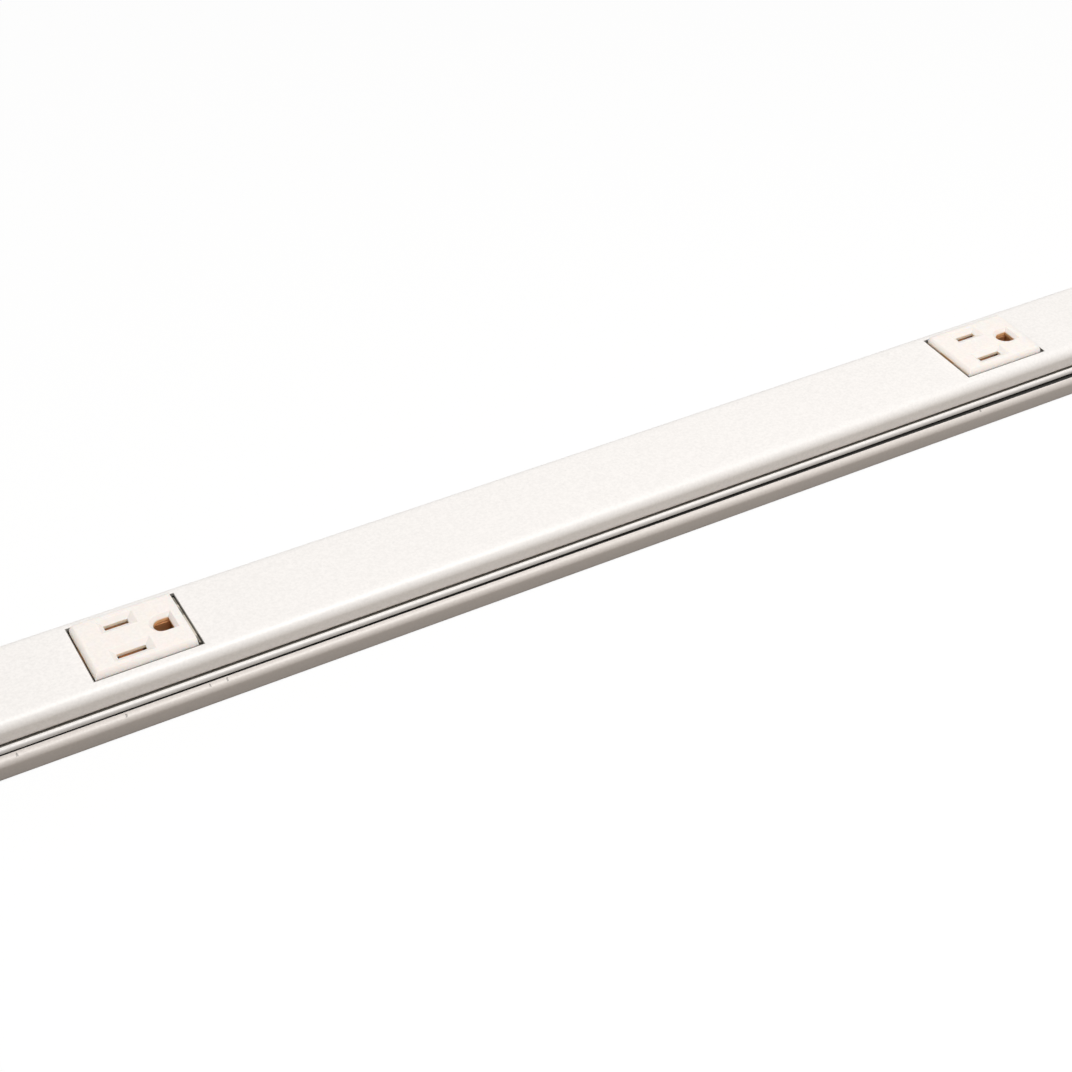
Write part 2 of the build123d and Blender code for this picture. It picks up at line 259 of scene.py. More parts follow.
class Value:
    """A node socket that takes part in sums like a number."""

    def __init__(self, maker, socket):
        self.maker = maker
        self.socket = socket

    @property
    def owner(self):
        """The node that the socket belongs to."""
        return self.socket.node

    def sum_with(self, operation, first, second):
        """A Math node on two sockets or numbers."""
        return self.maker.node("ShaderNodeMath", {"operation": operation}, {0: first, 1: second})

    def __add__(self, other):
        return self.sum_with("ADD", self, other)

    def __radd__(self, other):
        return self.sum_with("ADD", other, self)

    def __sub__(self, other):
        return self.sum_with("SUBTRACT", self, other)

    def __rsub__(self, other):
        return self.sum_with("SUBTRACT", other, self)

    def __mul__(self, other):
        return self.sum_with("MULTIPLY", self, other)

    def __rmul__(self, other):
        return self.sum_with("MULTIPLY", other, self)

    def __lt__(self, other):
        return self.sum_with("LESS_THAN", self, other)

    def __gt__(self, other):
        return self.sum_with("GREATER_THAN", self, other)

    def __abs__(self):
        return self.sum_with("ABSOLUTE", self, 0.0)


class Maker:
    """Adds nodes to one tree."""

    def __init__(self, tree):
        self.tree = tree

    def node(self, kind, settings=None, inputs=None, out=0):
        """One node: its settings first, then its inputs' values or links. Returns an output."""
        made = self.tree.nodes.new(kind)
        for name, setting in (settings or {}).items():
            if name == "stops":
                self.set_stops(made.color_ramp, setting)
            else:
                setattr(made, name, setting)
        for name, value in (inputs or {}).items():
            target = made.inputs[name]
            if isinstance(value, Value):
                self.tree.links.new(value.socket, target)
            else:
                target.default_value = value
        return Value(self, made.outputs[out]) if made.outputs else None

    @staticmethod
    def set_stops(ramp, stops):
        """Sets a ramp's places and grey values."""
        while len(ramp.elements) < len(stops):
            ramp.elements.new(1.0)
        for element, (place, value) in zip(ramp.elements, stops):
            element.position = place
            element.color = (value, value, value, 1)

    def ramp(self, value, *stops):
        """A grey ramp through the given places and values."""
        return self.node("ShaderNodeValToRGB", {"stops": stops}, {"Fac": value})

    @staticmethod
    def opaque(tone):
        """A colour as a socket takes it: a link, or four channels."""
        return tone if isinstance(tone, Value) else (*tone[:3], 1)

    def mix(self, factor, first, second):
        """A colour between two colours."""
        return self.node(
            "ShaderNodeMix", {"data_type": "RGBA"},
            {MIX_FACTOR: factor, MIX_FIRST: self.opaque(first), MIX_SECOND: self.opaque(second)},
            out=MIX_RESULT,
        )

    def vector(self, **parts):
        """A vector from its X, Y and Z."""
        return self.node("ShaderNodeCombineXYZ", None, parts)

    def split(self, vector):
        """The X, Y and Z of a vector."""
        parts = self.node("ShaderNodeSeparateXYZ", None, {"Vector": vector}).owner
        return [Value(self, output) for output in parts.outputs]


class Finish(Maker):
    """A material in Object coordinates."""

    def __init__(self, name):
        self.material = bpy.data.materials.new(name)
        self.material.use_nodes = True
        super().__init__(self.material.node_tree)
        self.tree.nodes.clear()
        self.place = self.node("ShaderNodeTexCoord", out="Object")

    def noise(self, size, detail=2.0, stretch=(1, 1, 1)):
        """Noise whose grain is about size metres, drawn out along an axis by stretch."""
        grain = self.node(
            "ShaderNodeMapping", None, {"Vector": self.place, "Scale": [1 / (size * s) for s in stretch]}
        )
        return self.node(
            "ShaderNodeTexNoise", None, {"Vector": grain, "Scale": 1.0, "Detail": detail}
        )

    def bump(self, height, distance, strength=1.0):
        """A normal from a height that stands for up to distance metres."""
        return self.node(
            "ShaderNodeBump", None, {"Height": height, "Distance": distance, "Strength": strength}
        )

    def finish(self, **inputs):
        """Closes the material with a Principled shader."""
        named = {key.replace("_", " "): value for key, value in inputs.items()}
        shader = self.node("ShaderNodeBsdfPrincipled", None, named)
        self.node("ShaderNodeOutputMaterial", None, {"Surface": shader})
        return self.material


def shade(tone, factor):
    """A colour made darker or lighter."""
    return tuple(min(1.0, channel * factor) for channel in tone)


def material(name, make, *arguments):
    """The named material, made on first use."""
    return bpy.data.materials.get(name) or make(name, *arguments)


def scuffs(paint, spread):
    """Small upright ticks where the base's front shoulder was knocked."""
    x, y, z = paint.split(paint.place)
    marks = 0.0
    for place in SCUFF_PLACES:
        marks = marks + (abs(x + spread * SCUFF_WAVER - place) < SCUFF_HALF)
    return marks * (y < 0.0 - SCUFF_INSIDE) * (y > 0.0 - SCUFF_OUTSIDE) * (z > SCUFF_LOW)


def enamel(name, tone, shade_and_scuff, seam=None, lower_shade=None, punched=None, scuffed=False):
    """Stove enamel: even, with slight orange peel, fine grain and dust specks.

    seam is (half, top, lean): within half of the middle and below top the paint takes the dark colour as
    painted shadow, and half grows by lean for each metre along the strip. The next argument is (low,
    high): painted shade darkens the steel from the height high down to low. punched is (place, half
    length, half width) of the openings, whose rims take the dark colour as painted shade. scuffed adds
    the ticks on the shoulder in the same dark colour."""
    paint = Finish(name)
    x, y, z = paint.split(paint.place)
    drift = paint.noise(0.07, 2.0)
    grain = paint.noise(0.0008, 3.0)
    specks = paint.ramp(paint.noise(0.0016, 1.0), (0.0, 0.0), (0.71, 0.0), (0.76, 1.0))
    tint = paint.mix(drift, shade(tone, 0.985), shade(tone, 1.012))
    tint = paint.mix(paint.ramp(grain, (0.35, 0.0), (0.65, 1.0)), tint, shade(tone, 0.93))
    tint = paint.mix(specks * 0.12, tint, shade(tone, 0.72))
    # Painted shade: the paint turns darker towards the bottom of the walls, where less light reaches
    if lower_shade:
        low, high = lower_shade
        lower_shade_ramp = paint.ramp((z - low) * (1 / (high - low)), (0.0, 1.0), (0.62, 0.72), (1.0, 0.0))
        tint = paint.mix(lower_shade_ramp * 0.75, tint, shade(tone, 0.45))
    # Painted shade on a thin rim round each opening, where the gap round the outlet face lies in shadow
    if punched:
        place, half_length, half_width = punched
        edge = (abs(abs(x) - place) < half_length) * (abs(y) < half_width)
        tint = paint.mix(edge * 0.8, tint, shade_and_scuff)
    if scuffed:
        tint = paint.mix(scuffs(paint, grain) * 0.55, tint, shade_and_scuff)
    # Painted shadow: the dark colour in the cover's groove and in the base's seam under the cover's lip
    if seam:
        half, top, lean = seam
        tint = paint.mix((abs(y) < x * lean + half) * (z < top), tint, shade_and_scuff)
    peel = paint.noise(0.0021, 1.0) + 0.35 * grain
    return paint.finish(
        Base_Color=tint,
        Roughness=0.38 + 0.08 * drift + 0.06 * grain,
        Coat_Weight=0.05,
        Coat_Roughness=0.26,
        Normal=paint.bump(peel, 0.00006, 0.35),
    )


def primer(name, tone):
    """Thin grey coat on the inside of the sheets."""
    coat = Finish(name)
    mottle = coat.noise(0.006, 4.0)
    return coat.finish(
        Base_Color=coat.mix(mottle, shade(tone, 0.8), shade(tone, 1.2)),
        Roughness=0.55 + 0.2 * mottle,
        Metallic=0.25,
        Normal=coat.bump(coat.noise(0.0008), 0.00003),
    )


def cut_edge(name, tone):
    """Sheared steel with lines across the sheet."""
    steel = Finish(name)
    lines = steel.noise(0.0004, 2.0, (1, 1, 6))
    return steel.finish(
        Base_Color=steel.mix(lines, shade(tone, 0.7), shade(tone, 1.15)),
        Roughness=0.38 + 0.2 * lines,
        Metallic=0.8,
        Normal=steel.bump(lines, 0.00004),
    )


def plastic(name, tone, dust, warm, deep, hole):
    """Moulded thermoplastic, a little translucent, with a fine satin texture.

    The pockets and the rounded rim are made darker as painted shade, the outer walls below the cover's
    top get painted shade for the gap round the face, and the walls of the slots and ground holes turn
    from warm, a painted warm reflected light, to deep or hole below, painted shade."""
    resin = Finish(name)
    flow = resin.noise(0.012, 2.0)
    texture = resin.noise(0.00035, 2.0)
    grain = resin.ramp(resin.noise(0.0009, 2.0), (0.35, 0.0), (0.65, 1.0))
    x, y, z = resin.split(resin.place)
    inner = (abs(abs(x - FACE_SHIFT) - FACE_PLACE) < FACE_INNER_LENGTH) * (
        abs(y) < FACE_INNER_WIDTH
    )
    depth = FACE_HIGH.z - z
    tint = resin.mix(flow, shade(tone, 0.982), shade(tone, 1.012))
    tint = resin.mix(grain, tint, shade(tone, 0.955))
    # Painted shade: the pockets and the rounded rim are made darker than the top
    tint = resin.mix(depth > SHADED_BELOW, tint, shade(tone, 0.92))
    # Painted shade on the outer walls below the cover's top, in the gap round the face
    tint = resin.mix((1.0 - inner) * (z < COVER_HIGH.z - SHADED_BELOW), tint, dust)
    # Painted light and shade on the walls of the slots and ground holes: warm reflected light near the
    # top, shade deeper down
    ground = abs(y) < GROUND_HALF
    fall = (depth - POCKET_DEPTH) * (1 / SLOT_SHADE) * (1.0 + GROUND_HASTE * ground)
    shadow = resin.ramp(fall, (0.0, 0.0), (0.7, 0.2), (0.95, 1.0))
    wall = resin.mix(shadow, warm, resin.mix(ground, deep, hole))
    return resin.finish(
        Base_Color=resin.mix(inner * (depth > POCKET_DEPTH), tint, wall),
        Roughness=0.5 + 0.1 * flow + 0.08 * texture,
        Specular_IOR_Level=0.2,
        Subsurface_Weight=0.5,
        Subsurface_Radius=(1.0, 0.7, 0.52),
        Subsurface_Scale=0.002,
        Normal=resin.bump(texture, 0.00002, 0.5),
    )


def phenolic(name, tone):
    """Moulded brown resin with filler specks."""
    resin = Finish(name)
    mottle = resin.noise(0.0022, 4.0)
    specks = resin.ramp(resin.noise(0.0005, 1.0), (0.0, 0.0), (0.62, 0.0), (0.7, 1.0))
    tint = resin.mix(mottle, shade(tone, 0.75), shade(tone, 1.3))
    return resin.finish(
        Base_Color=resin.mix(specks * 0.35, tint, shade(tone, 2.0)),
        Roughness=0.42 + 0.2 * mottle,
        Normal=resin.bump(specks + mottle, 0.00003, 0.5),
    )


def brass(name, tone):
    """Stamped brass strip, slightly tarnished."""
    metal = Finish(name)
    tarnish = metal.noise(0.004, 4.0)
    rolled = metal.noise(0.00025, 1.0, (14, 1, 1))
    return metal.finish(
        Base_Color=metal.mix(metal.ramp(tarnish, (0.4, 0.0), (0.8, 1.0)), tone, shade(tone, 0.65)),
        Roughness=0.34 + 0.22 * tarnish + 0.08 * rolled,
        Metallic=1.0,
        Normal=metal.bump(rolled, 0.00001, 0.6),
    )


def spring_steel(name, tone):
    """Tempered strip with a straw tint, brown patches and rolling lines."""
    metal = Finish(name)
    temper = metal.noise(0.005, 3.0)
    patches = metal.ramp(metal.noise(0.0032, 2.0), (0.5, 0.0), (0.58, 1.0))
    rolled = metal.noise(0.00022, 1.0, (1, 14, 1))
    tint = metal.mix(temper, shade(tone, 0.85), shade(tone, 1.3))
    return metal.finish(
        Base_Color=metal.mix(patches, tint, shade(tone, 0.45)),
        Roughness=0.36 + 0.18 * temper + 0.2 * patches,
        Metallic=0.9,
        Normal=metal.bump(rolled, 0.00001, 0.6),
    )


def jacket(name, tone):
    """Glossy wire insulation with faint draw lines."""
    skin = Finish(name)
    drawn = skin.noise(0.0006, 2.0, (30, 1, 1))
    dust = skin.noise(0.009, 3.0)
    return skin.finish(
        Base_Color=skin.mix(dust, shade(tone, 0.85), shade(tone, 1.15)),
        Roughness=0.22 + 0.12 * drawn + 0.1 * dust,
        Normal=skin.bump(drawn, 0.00002, 0.4),
    )


def cover_enamel(sizes, colours):
    """The cover's paint, with painted shade in the groove and round the openings, and darker towards its
    lower edge as painted shade.
    """
    seam = (sizes.cover_side - sizes.groove_depth * GROOVE_SHADE, sizes.groove_top, 0.0)
    lower_shade = (COVER_LOW.z, sizes.groove_ledge)
    punched = (
        sizes.outlet_pitch / 2,
        sizes.opening_length / 2 + sizes.opening_shade_width,
        sizes.opening_width / 2 + sizes.opening_shade_width,
    )
    return material(
        "cover_enamel", enamel, tuple(colours.enamel), tuple(colours.groove_shade_tone),
        seam, lower_shade, punched,
    )


def base_enamel(sizes, colours):
    """The base's paint, with painted shadow under the cover's lip, painted shade darkening it towards
    the floor, and scuffs on its front shoulder.
    """
    seam = (COVER_HIGH.y + sizes.seam_show, BASE_HIGH.z, sizes.seam_lean)
    lower_shade = (BASE_LOW.z, sizes.shoulder_top)
    return material(
        "base_enamel", enamel, tuple(colours.base_enamel), tuple(colours.seam_shade_and_scuff_tone),
        seam, lower_shade, None, True,
    )


def cap_enamel(colours):
    """The end caps' plain paint."""
    return material("cap_enamel", enamel, tuple(colours.enamel), tuple(colours.groove_shade_tone))


def spring_strip(colours):
    """The steel of the receptacle springs and the wire clips."""
    return material("spring_strip", spring_steel, tuple(colours.spring))


# Rolled sheets


class Recipe(Maker):
    """A geometry-nodes tree with named inputs and one shape as its output."""

    def __init__(self, name, shape, numbers, counts, finish):
        super().__init__(bpy.data.node_groups.new(name, "GeometryNodeTree"))
        self.add_input(shape, "NodeSocketGeometry")
        for number in numbers:
            self.add_input(number, "NodeSocketFloat")
        for count in counts:
            self.add_input(count, "NodeSocketInt")
        self.add_input(finish, "NodeSocketMaterial")
        self.tree.interface.new_socket(
            name="Shape", in_out="OUTPUT", socket_type="NodeSocketGeometry"
        )
        self.given = self.node("NodeGroupInput").owner

    def add_input(self, name, kind):
        """One named input of the tree."""
        self.tree.interface.new_socket(name=name, in_out="INPUT", socket_type=kind)

    def asked(self, name):
        """The value of a named input."""
        return Value(self, self.given.outputs[name])

    def close(self, shape):
        """Ends the tree in a shape."""
        self.node("NodeGroupOutput", None, {"Shape": shape})
        return self.tree


def rolled_strip_tree():
    """Geometry nodes: fillets a bent section, runs it along X and opens it at each outlet."""
    known = bpy.data.node_groups.get("Rolled Strip")
    if known:
        return known
    make = Recipe(
        "Rolled Strip", "Section",
        ("Length", "Outlet Pitch", "Opening Length", "Opening Width", "Opening Height"),
        ("Bend Steps",), "Finish",
    )
    pitch, opening = make.asked("Outlet Pitch"), make.asked("Opening Length")
    radius = make.node(
        "GeometryNodeInputNamedAttribute", {"data_type": "FLOAT"}, {"Name": "bend"}
    )
    line = make.node("GeometryNodeMeshToCurve", None, {"Mesh": make.asked("Section")})
    line = make.node(
        "GeometryNodeFilletCurve", {"mode": "POLY"},
        {"Curve": line, "Count": make.asked("Bend Steps"), "Radius": radius},
    )
    sheet = make.node("GeometryNodeCurveToMesh", None, {"Curve": line})
    end_run = (make.asked("Length") - pitch - opening) * 0.5
    edge = {}
    for run in (end_run, opening, pitch - opening, opening, end_run):
        sheet = make.node(
            "GeometryNodeExtrudeMesh", {"mode": "EDGES"},
            {"Mesh": sheet, "Offset": make.vector(X=run), "Offset Scale": 1.0, **edge},
        )
        edge = {"Selection": Value(make, sheet.owner.outputs["Top"])}
    x, y, z = make.split(make.node("GeometryNodeInputPosition"))
    inside = (abs(abs(x) - pitch * 0.5) < opening * 0.5) * (
        abs(y) < make.asked("Opening Width") * 0.5
    )
    sheet = make.node(
        "GeometryNodeDeleteGeometry", {"domain": "FACE"},
        {"Geometry": sheet, "Selection": inside * (z > make.asked("Opening Height"))},
    )
    sheet = make.node("GeometryNodeSetShadeSmooth", None, {"Geometry": sheet})
    sheet = make.node("GeometryNodeRealizeInstances", None, {"Geometry": sheet})
    return make.close(make.node(
        "GeometryNodeSetMaterial", None, {"Geometry": sheet, "Material": make.asked("Finish")}
    ))


def punched_floor_tree():
    """Geometry nodes: punches the mounting holes and scores the knockouts in the base."""
    known = bpy.data.node_groups.get("Punched Floor")
    if known:
        return known
    make = Recipe(
        "Punched Floor", "Base",
        (
            "Sheet", "Hole Radius", "Hole Spacing",
            "Knockout Radius", "Knockout Place", "Score Width", "Score Depth",
        ),
        ("Hole Sides", "Score Sides"), "Edge Finish",
    )

    def row(tool, count, first, step):
        """Copies of a tool along X."""
        points = make.node(
            "GeometryNodeMeshLine", {"mode": "OFFSET"},
            {"Count": count, "Start Location": make.vector(X=first), "Offset": make.vector(X=step)},
        )
        return make.node(
            "GeometryNodeInstanceOnPoints", None, {"Points": points, "Instance": tool}
        )

    drill = make.node(
        "GeometryNodeMeshCylinder", None,
        {
            "Vertices": make.asked("Hole Sides"), "Radius": make.asked("Hole Radius"),
            "Depth": make.asked("Sheet") * DRILL_SHEETS,
        },
    )
    spacing = make.asked("Hole Spacing")
    holes = row(drill, HOLES, 0.0 - spacing, spacing)
    ring = make.node(
        "GeometryNodeCurvePrimitiveCircle", {"mode": "RADIUS"},
        {
            "Resolution": make.asked("Score Sides"),
            "Radius": make.asked("Knockout Radius") - make.asked("Score Width") * 0.5,
        },
    )
    tool = make.node(
        "GeometryNodeCurvePrimitiveQuadrilateral", None,
        {"Width": make.asked("Score Width"), "Height": make.asked("Score Depth") * 2.0},
    )
    ring = make.node("GeometryNodeCurveToMesh", None, {"Curve": ring, "Profile Curve": tool})
    place = make.asked("Knockout Place")
    scores = row(ring, KNOCKOUTS, 0.0 - place, place * 2.0)
    cutters = make.node("GeometryNodeJoinGeometry")
    for part in (holes, scores):
        make.tree.links.new(part.socket, cutters.owner.inputs["Geometry"])
    cutters = make.node("GeometryNodeRealizeInstances", None, {"Geometry": cutters})
    cutters = make.node(
        "GeometryNodeSetMaterial", None,
        {"Geometry": cutters, "Material": make.asked("Edge Finish")},
    )
    return make.close(make.node(
        "GeometryNodeMeshBoolean", {"operation": "DIFFERENCE", "solver": "EXACT"},
        {"Mesh 1": make.asked("Base"), "Mesh 2": cutters},
    ))


def add_tree(piece, tree, values):
    """A geometry-nodes modifier with its named inputs set."""
    modifier = piece.modifiers.new(tree.name, "NODES")
    modifier.node_group = tree
    for item in tree.interface.items_tree:
        if item.item_type == "SOCKET" and item.in_out == "INPUT" and item.name in values:
            modifier[item.identifier] = values[item.name]
    return modifier


def settle(piece):
    """Turns the evaluated piece into a plain mesh."""
    bpy.context.view_layer.update()
    evaluated = piece.evaluated_get(bpy.context.evaluated_depsgraph_get())
    mesh = bpy.data.meshes.new_from_object(evaluated)
    old = piece.data
    piece.modifiers.clear()
    piece.data = mesh
    bpy.data.meshes.remove(old)
    mesh.name = piece.name
    return piece


def section_object(name, points, start):
    """A symmetric section as a line of edges in the plane X = start; points are (y, z, bend).

    The outside of the sheet is on the left of the way from the first point to the last."""
    whole = [(-y, z, bend) for y, z, bend in reversed(points[1:])] + list(points)
    foot, middle = whole[0][1], points[0][1]
    if foot > middle:
        whole.reverse()
    edges = [(number, number + 1) for number in range(len(whole) - 1)]
    mesh = bpy.data.meshes.new(name)
    mesh.from_pydata([(start, y, z) for y, z, bend in whole], edges, [])
    bends = mesh.attributes.new("bend", "FLOAT", "POINT")
    bends.data.foreach_set("value", [bend for y, z, bend in whole])
    piece = bpy.data.objects.new(name, mesh)
    bpy.context.scene.collection.objects.link(piece)
    return piece


def roll(name, points, low, high, sizes, colours, finish, opening_width):
    """A rolled sheet with its thickness and softened edges, still with its modifiers.

    An opening width of 0 leaves the sheet whole."""
    piece = section_object(name, points, low.x)
    add_tree(piece, rolled_strip_tree(), {
        "Length": high.x - low.x,
        "Outlet Pitch": sizes.outlet_pitch,
        "Opening Length": sizes.opening_length,
        "Opening Width": opening_width,
        "Opening Height": high.z - sizes.sheet,
        "Bend Steps": sizes.bend_steps,
        "Finish": finish,
    })
    # Outside, inside and sheared rim, in the order of the material slots
    for coat in (
        finish,
        material("grey_primer", primer, tuple(colours.primer)),
        material("sheared_edge", cut_edge, tuple(colours.cut_edge)),
    ):
        piece.data.materials.append(coat)
    wall = piece.modifiers.new("Wall", "SOLIDIFY")
    wall.thickness = sizes.sheet
    wall.offset = -1
    wall.use_even_offset = True
    wall.material_offset = 1
    wall.material_offset_rim = 2
    edges = piece.modifiers.new("Edges", "BEVEL")
    edges.width = sizes.edge_softness
    edges.segments = sizes.edge_steps
    edges.limit_method = "ANGLE"
    edges.angle_limit = sizes.edge_turn
    edges.use_clamp_overlap = True
    return piece


def cover_section(sizes):
    """Half the cover's outside, from the middle of its top to its lower edge: (y, z, bend)."""
    side, lip, top = sizes.cover_side, COVER_HIGH.y, COVER_HIGH.z
    inner = side - sizes.groove_depth
    tight = sizes.crimp_bend - sizes.sheet
    return [
        (0, top, 0),
        (sizes.opening_width / 2, top, 0),
        (side, top, sizes.cover_corner),
        (side, sizes.groove_top, sizes.crimp_bend),
        (inner, sizes.groove_top, tight),
        (inner, sizes.groove_ledge, tight),
        (lip, sizes.groove_ledge, sizes.lip_bend),
        (lip, COVER_LOW.z, 0),
    ]


def base_section(sizes):
    """Half the base's outside, from the middle of its floor to its catch rim: (y, z, bend)."""
    half, top = BASE_HIGH.y, BASE_HIGH.z
    return [
        (0, 0, 0),
        (half, 0, sizes.foot_bend),
        (half, sizes.shoulder_top, sizes.shoulder_bend),
        (sizes.shoulder_inner, sizes.shoulder_top, sizes.inner_bend),
        (sizes.shoulder_inner, sizes.trough_floor, sizes.trough_bend),
        (sizes.neck_half, sizes.trough_floor, sizes.trough_bend),
        (sizes.neck_half, sizes.rim_step, sizes.rim_root),
        (sizes.rim_half, sizes.rim_step, sizes.sheet),
        (sizes.rim_half, top, 0),
    ]


def weigh_normals(piece):
    """Keeps the shading of the flat faces flat beside the bends."""
    normals = piece.modifiers.new("Normals", "WEIGHTED_NORMAL")
    normals.weight = 100


def dress(node, finish):
    """Gives a carried-over node its finish."""
    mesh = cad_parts[node].data
    mesh.materials.clear()
    mesh.materials.append(finish)


def settings(context):
    """The scene's sizes and colours."""
    scene = context.scene
    return scene.raceway_sizes, scene.raceway_colours


class RacewayOperator:
    """What the operators share."""

    bl_options = {"REGISTER", "UNDO"}


class RACEWAY_OT_cover(RacewayOperator, Operator):
    """Roll the cover with its crimped grooves and its two openings"""

    bl_idname = "raceway.cover"
    bl_label = "Cover"

    def execute(self, context):
        sizes, colours = settings(context)
        cover = roll(
            "cover_sheet", cover_section(sizes), COVER_LOW, COVER_HIGH, sizes, colours,
            cover_enamel(sizes, colours), opening_width=sizes.opening_width,
        )
        weigh_normals(cover)
        settle(cover)
        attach(cover, BODY)
        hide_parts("cover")
        return {"FINISHED"}


class RACEWAY_OT_base(RacewayOperator, Operator):
    """Roll the base with its shoulders and catch rims, and punch its floor"""

    bl_idname = "raceway.base"
    bl_label = "Base"

    def execute(self, context):
        sizes, colours = settings(context)
        base = roll(
            "base_sheet", base_section(sizes), BASE_LOW, BASE_HIGH, sizes, colours,
            base_enamel(sizes, colours), opening_width=0.0,
        )
        add_tree(base, punched_floor_tree(), {
            "Sheet": sizes.sheet,
            "Hole Radius": sizes.hole_radius,
            "Hole Spacing": sizes.hole_spacing,
            "Knockout Radius": sizes.knockout_radius,
            "Knockout Place": sizes.knockout_place,
            "Score Width": sizes.score_width,
            "Score Depth": sizes.score_depth,
            "Hole Sides": sizes.hole_sides,
            "Score Sides": sizes.score_sides,
            "Edge Finish": material("sheared_edge", cut_edge, tuple(colours.cut_edge)),
        })
        weigh_normals(base)
        settle(base)
        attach(base, BODY)
        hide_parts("base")
        return {"FINISHED"}


class RACEWAY_OT_end_caps(RacewayOperator, Operator):
    """Paint the two end caps"""

    bl_idname = "raceway.end_caps"
    bl_label = "End Caps"

    def execute(self, context):
        colours = settings(context)[1]
        for side in SIDES:
            dress(f"{side}_end_cap", cap_enamel(colours))
        return {"FINISHED"}


class RACEWAY_OT_outlets(RacewayOperator, Operator):
    """Finish the outlets' faces, bodies and contacts"""

    bl_idname = "raceway.outlets"
    bl_label = "Outlets"

    def execute(self, context):
        colours = settings(context)[1]
        face = material(
            "face_plastic", plastic, tuple(colours.plastic), tuple(colours.face_gap_shade),
            tuple(colours.slot_warm_reflection), tuple(colours.slot_deep_shade), tuple(colours.hole_shade_and_reflection),
        )
        body = material("brown_phenolic", phenolic, tuple(colours.phenolic))
        contact = material("stamped_brass", brass, tuple(colours.brass))
        for side in SIDES:
            dress(f"{side}_receptacle_face", face)
            dress(f"{side}_receptacle_body", body)
            dress(f"{side}_receptacle_spring", spring_strip(colours))
            for pole in POLES:
                dress(f"{side}_{pole}_contact", contact)
        return {"FINISHED"}


class RACEWAY_OT_wires(RacewayOperator, Operator):
    """Finish the conductors and their clips"""

    bl_idname = "raceway.wires"
    bl_label = "Wires and Clips"

    def execute(self, context):
        colours = settings(context)[1]
        for pole in POLES:
            tone = tuple(getattr(colours, f"{pole}_jacket"))
            dress(f"{pole}_wire", material(f"{pole}_insulation", jacket, tone))
        for place in ("left", "middle", "right"):
            dress(f"{place}_wire_clip", spring_strip(colours))
        return {"FINISHED"}


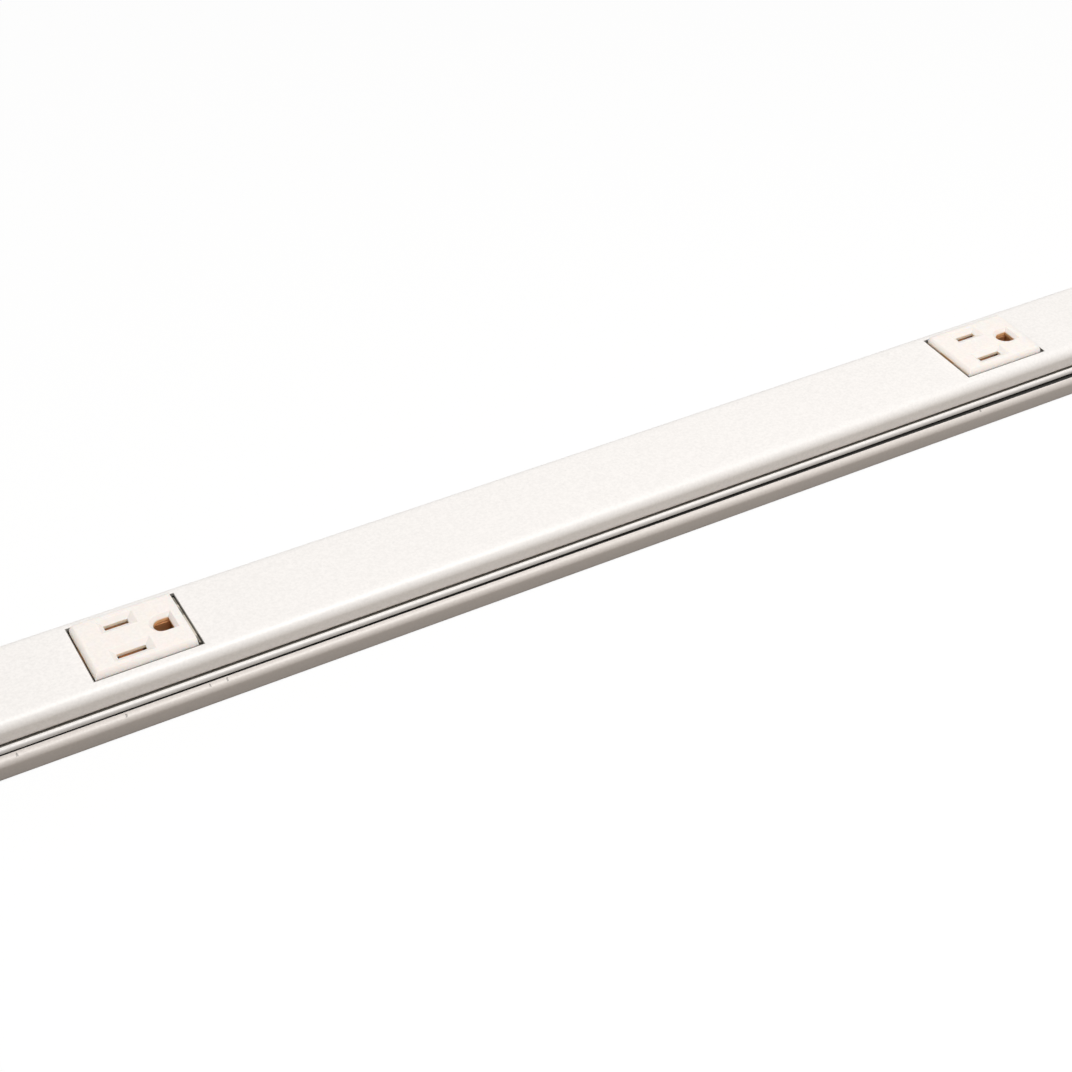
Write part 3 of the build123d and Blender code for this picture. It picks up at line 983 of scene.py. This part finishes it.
class RACEWAY_OT_stage(RacewayOperator, Operator):
    """Set the pale floor, the soft light and the camera"""

    bl_idname = "raceway.stage"
    bl_label = "Stage"

    def execute(self, context):
        scene = context.scene
        stage, colours = scene.raceway_stage, scene.raceway_colours
        self.floor(scene, stage, tuple(colours.floor))
        self.world(scene, (*colours.room, 1), stage.sky)
        lamps = tuple(colours.lamps)
        self.softbox(
            scene, "overhead_softbox", lamps,
            stage.key_power, stage.key_place, stage.key_width, stage.key_depth,
        )
        self.softbox(
            scene, "back_softbox", lamps,
            stage.fill_power, stage.fill_place, stage.fill_size, stage.fill_size,
        )
        self.camera(scene, stage)
        scene.view_settings.view_transform = "Standard"
        return {"FINISHED"}

    @staticmethod
    def seen(make):
        """1 for rays that show the background: camera, glossy and transmission."""
        path = make.node("ShaderNodeLightPath").owner
        camera, glossy, through = (
            Value(make, path.outputs[f"Is {kind} Ray"])
            for kind in ("Camera", "Glossy", "Transmission")
        )
        shown = camera + glossy + through
        return shown.sum_with("MINIMUM", shown, 1.0)

    def floor(self, scene, stage, tone):
        """A wide floor: white to the camera, dim and warm to the strip."""
        mesh = bpy.data.meshes.new("floor")
        reach, level = stage.floor_reach, -stage.floor_gap
        corners = [(-reach, -reach), (reach, -reach), (reach, reach), (-reach, reach)]
        mesh.from_pydata([(x, y, level) for x, y in corners], [], [(0, 1, 2, 3)])
        plane = bpy.data.objects.new("floor", mesh)
        scene.collection.objects.link(plane)
        card = Finish("floor_card")
        grain = card.noise(0.02, 3.0)
        lit = card.node("ShaderNodeBsdfPrincipled", None, {
            "Base Color": card.mix(grain, shade(tone, 0.995), shade(tone, 1.005)),
            "Roughness": 0.9, "Specular IOR Level": 0.1,
        })
        paper = card.node("ShaderNodeBsdfDiffuse", None, {"Color": (1, 1, 1, 1)})
        white = card.node("ShaderNodeEmission", None, {"Color": (1, 1, 1, 1), "Strength": 1.0})
        shown = card.node("ShaderNodeMixShader", None, {0: stage.floor_glow, 1: paper, 2: white})
        surface = card.node("ShaderNodeMixShader", None, {0: self.seen(card), 1: lit, 2: shown})
        card.node("ShaderNodeOutputMaterial", None, {"Surface": surface})
        mesh.materials.append(card.material)

    def world(self, scene, tone, strength):
        """Even light on the strip, and a white background."""
        world = bpy.data.worlds.new("studio")
        scene.world = world
        world.use_nodes = True
        world.node_tree.nodes.clear()
        make = Maker(world.node_tree)
        dim = make.node("ShaderNodeBackground", None, {"Color": tone, "Strength": strength})
        white = make.node("ShaderNodeBackground", None, {"Color": (1, 1, 1, 1), "Strength": 1.0})
        surface = make.node("ShaderNodeMixShader", None, {0: self.seen(make), 1: dim, 2: white})
        make.node("ShaderNodeOutputWorld", None, {"Surface": surface})

    @staticmethod
    def softbox(scene, name, tone, power, place, width, depth):
        """A rectangular light turned towards the origin."""
        lamp = bpy.data.lights.new(name, "AREA")
        lamp.shape = "RECTANGLE"
        lamp.size = width
        lamp.size_y = depth
        lamp.energy = power
        lamp.color = tone
        box = bpy.data.objects.new(name, lamp)
        place = Vector(place)
        turn = place.to_track_quat("Z", "Y").to_matrix().to_4x4()
        box.matrix_world = Matrix.Translation(place) @ turn
        scene.collection.objects.link(box)

    @staticmethod
    def camera(scene, stage):
        """The camera, from its place and its three angles."""
        azimuth, elevation, roll_angle = stage.azimuth, stage.elevation, stage.roll
        back = Vector((
            math.sin(azimuth) * math.cos(elevation),
            -math.cos(azimuth) * math.cos(elevation),
            math.sin(elevation),
        ))
        right = (-back).cross(Vector((0, 0, 1))).normalized()
        up = right.cross(-back)
        across = right * math.cos(roll_angle) + up * math.sin(roll_angle)
        upright = up * math.cos(roll_angle) - right * math.sin(roll_angle)
        data = bpy.data.cameras.new("camera")
        data.lens = stage.lens
        data.sensor_width = SENSOR_WIDTH
        data.sensor_fit = "HORIZONTAL"
        data.clip_start = CLIP_START
        data.clip_end = CLIP_END
        camera = bpy.data.objects.new("camera", data)
        camera.matrix_world = Matrix.Translation(Vector(stage.place)) @ Matrix(
            (across, upright, back)
        ).transposed().to_4x4()
        scene.collection.objects.link(camera)
        scene.camera = camera


class RACEWAY_PT_panel(Panel):
    """Lists the pieces of the raceway"""

    bl_idname = "RACEWAY_PT_panel"
    bl_label = "Outlet Raceway"
    bl_space_type = "VIEW_3D"
    bl_region_type = "UI"
    bl_category = "Raceway"

    def draw(self, context):
        layout = self.layout
        for operator in OPERATORS:
            layout.operator(operator.bl_idname)
        for group in GROUPS:
            box = layout.box()
            box.label(text=group)
            holder = getattr(context.scene, group)
            for name in holder.__annotations__:
                box.prop(holder, name)


OPERATORS = (
    RACEWAY_OT_cover,
    RACEWAY_OT_base,
    RACEWAY_OT_end_caps,
    RACEWAY_OT_outlets,
    RACEWAY_OT_wires,
    RACEWAY_OT_stage,
)
GROUPS = {
    "raceway_sizes": RacewaySizes,
    "raceway_colours": RacewayColours,
    "raceway_stage": RacewayStage,
}


def register():
    """Adds the classes and the scene's properties."""
    for group in GROUPS.values():
        bpy.utils.register_class(group)
    for operator in OPERATORS:
        bpy.utils.register_class(operator)
    bpy.utils.register_class(RACEWAY_PT_panel)
    for name, group in GROUPS.items():
        setattr(bpy.types.Scene, name, PointerProperty(type=group))


def unregister():
    """Takes the classes and the scene's properties away."""
    for name in GROUPS:
        delattr(bpy.types.Scene, name)
    bpy.utils.unregister_class(RACEWAY_PT_panel)
    for operator in reversed(OPERATORS):
        bpy.utils.unregister_class(operator)
    for group in GROUPS.values():
        bpy.utils.unregister_class(group)


def main():
    """Registers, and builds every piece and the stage."""
    register()
    for piece in ("cover", "base", "end_caps", "outlets", "wires", "stage"):
        getattr(bpy.ops.raceway, piece)()


if __name__ == "__main__":
    main()
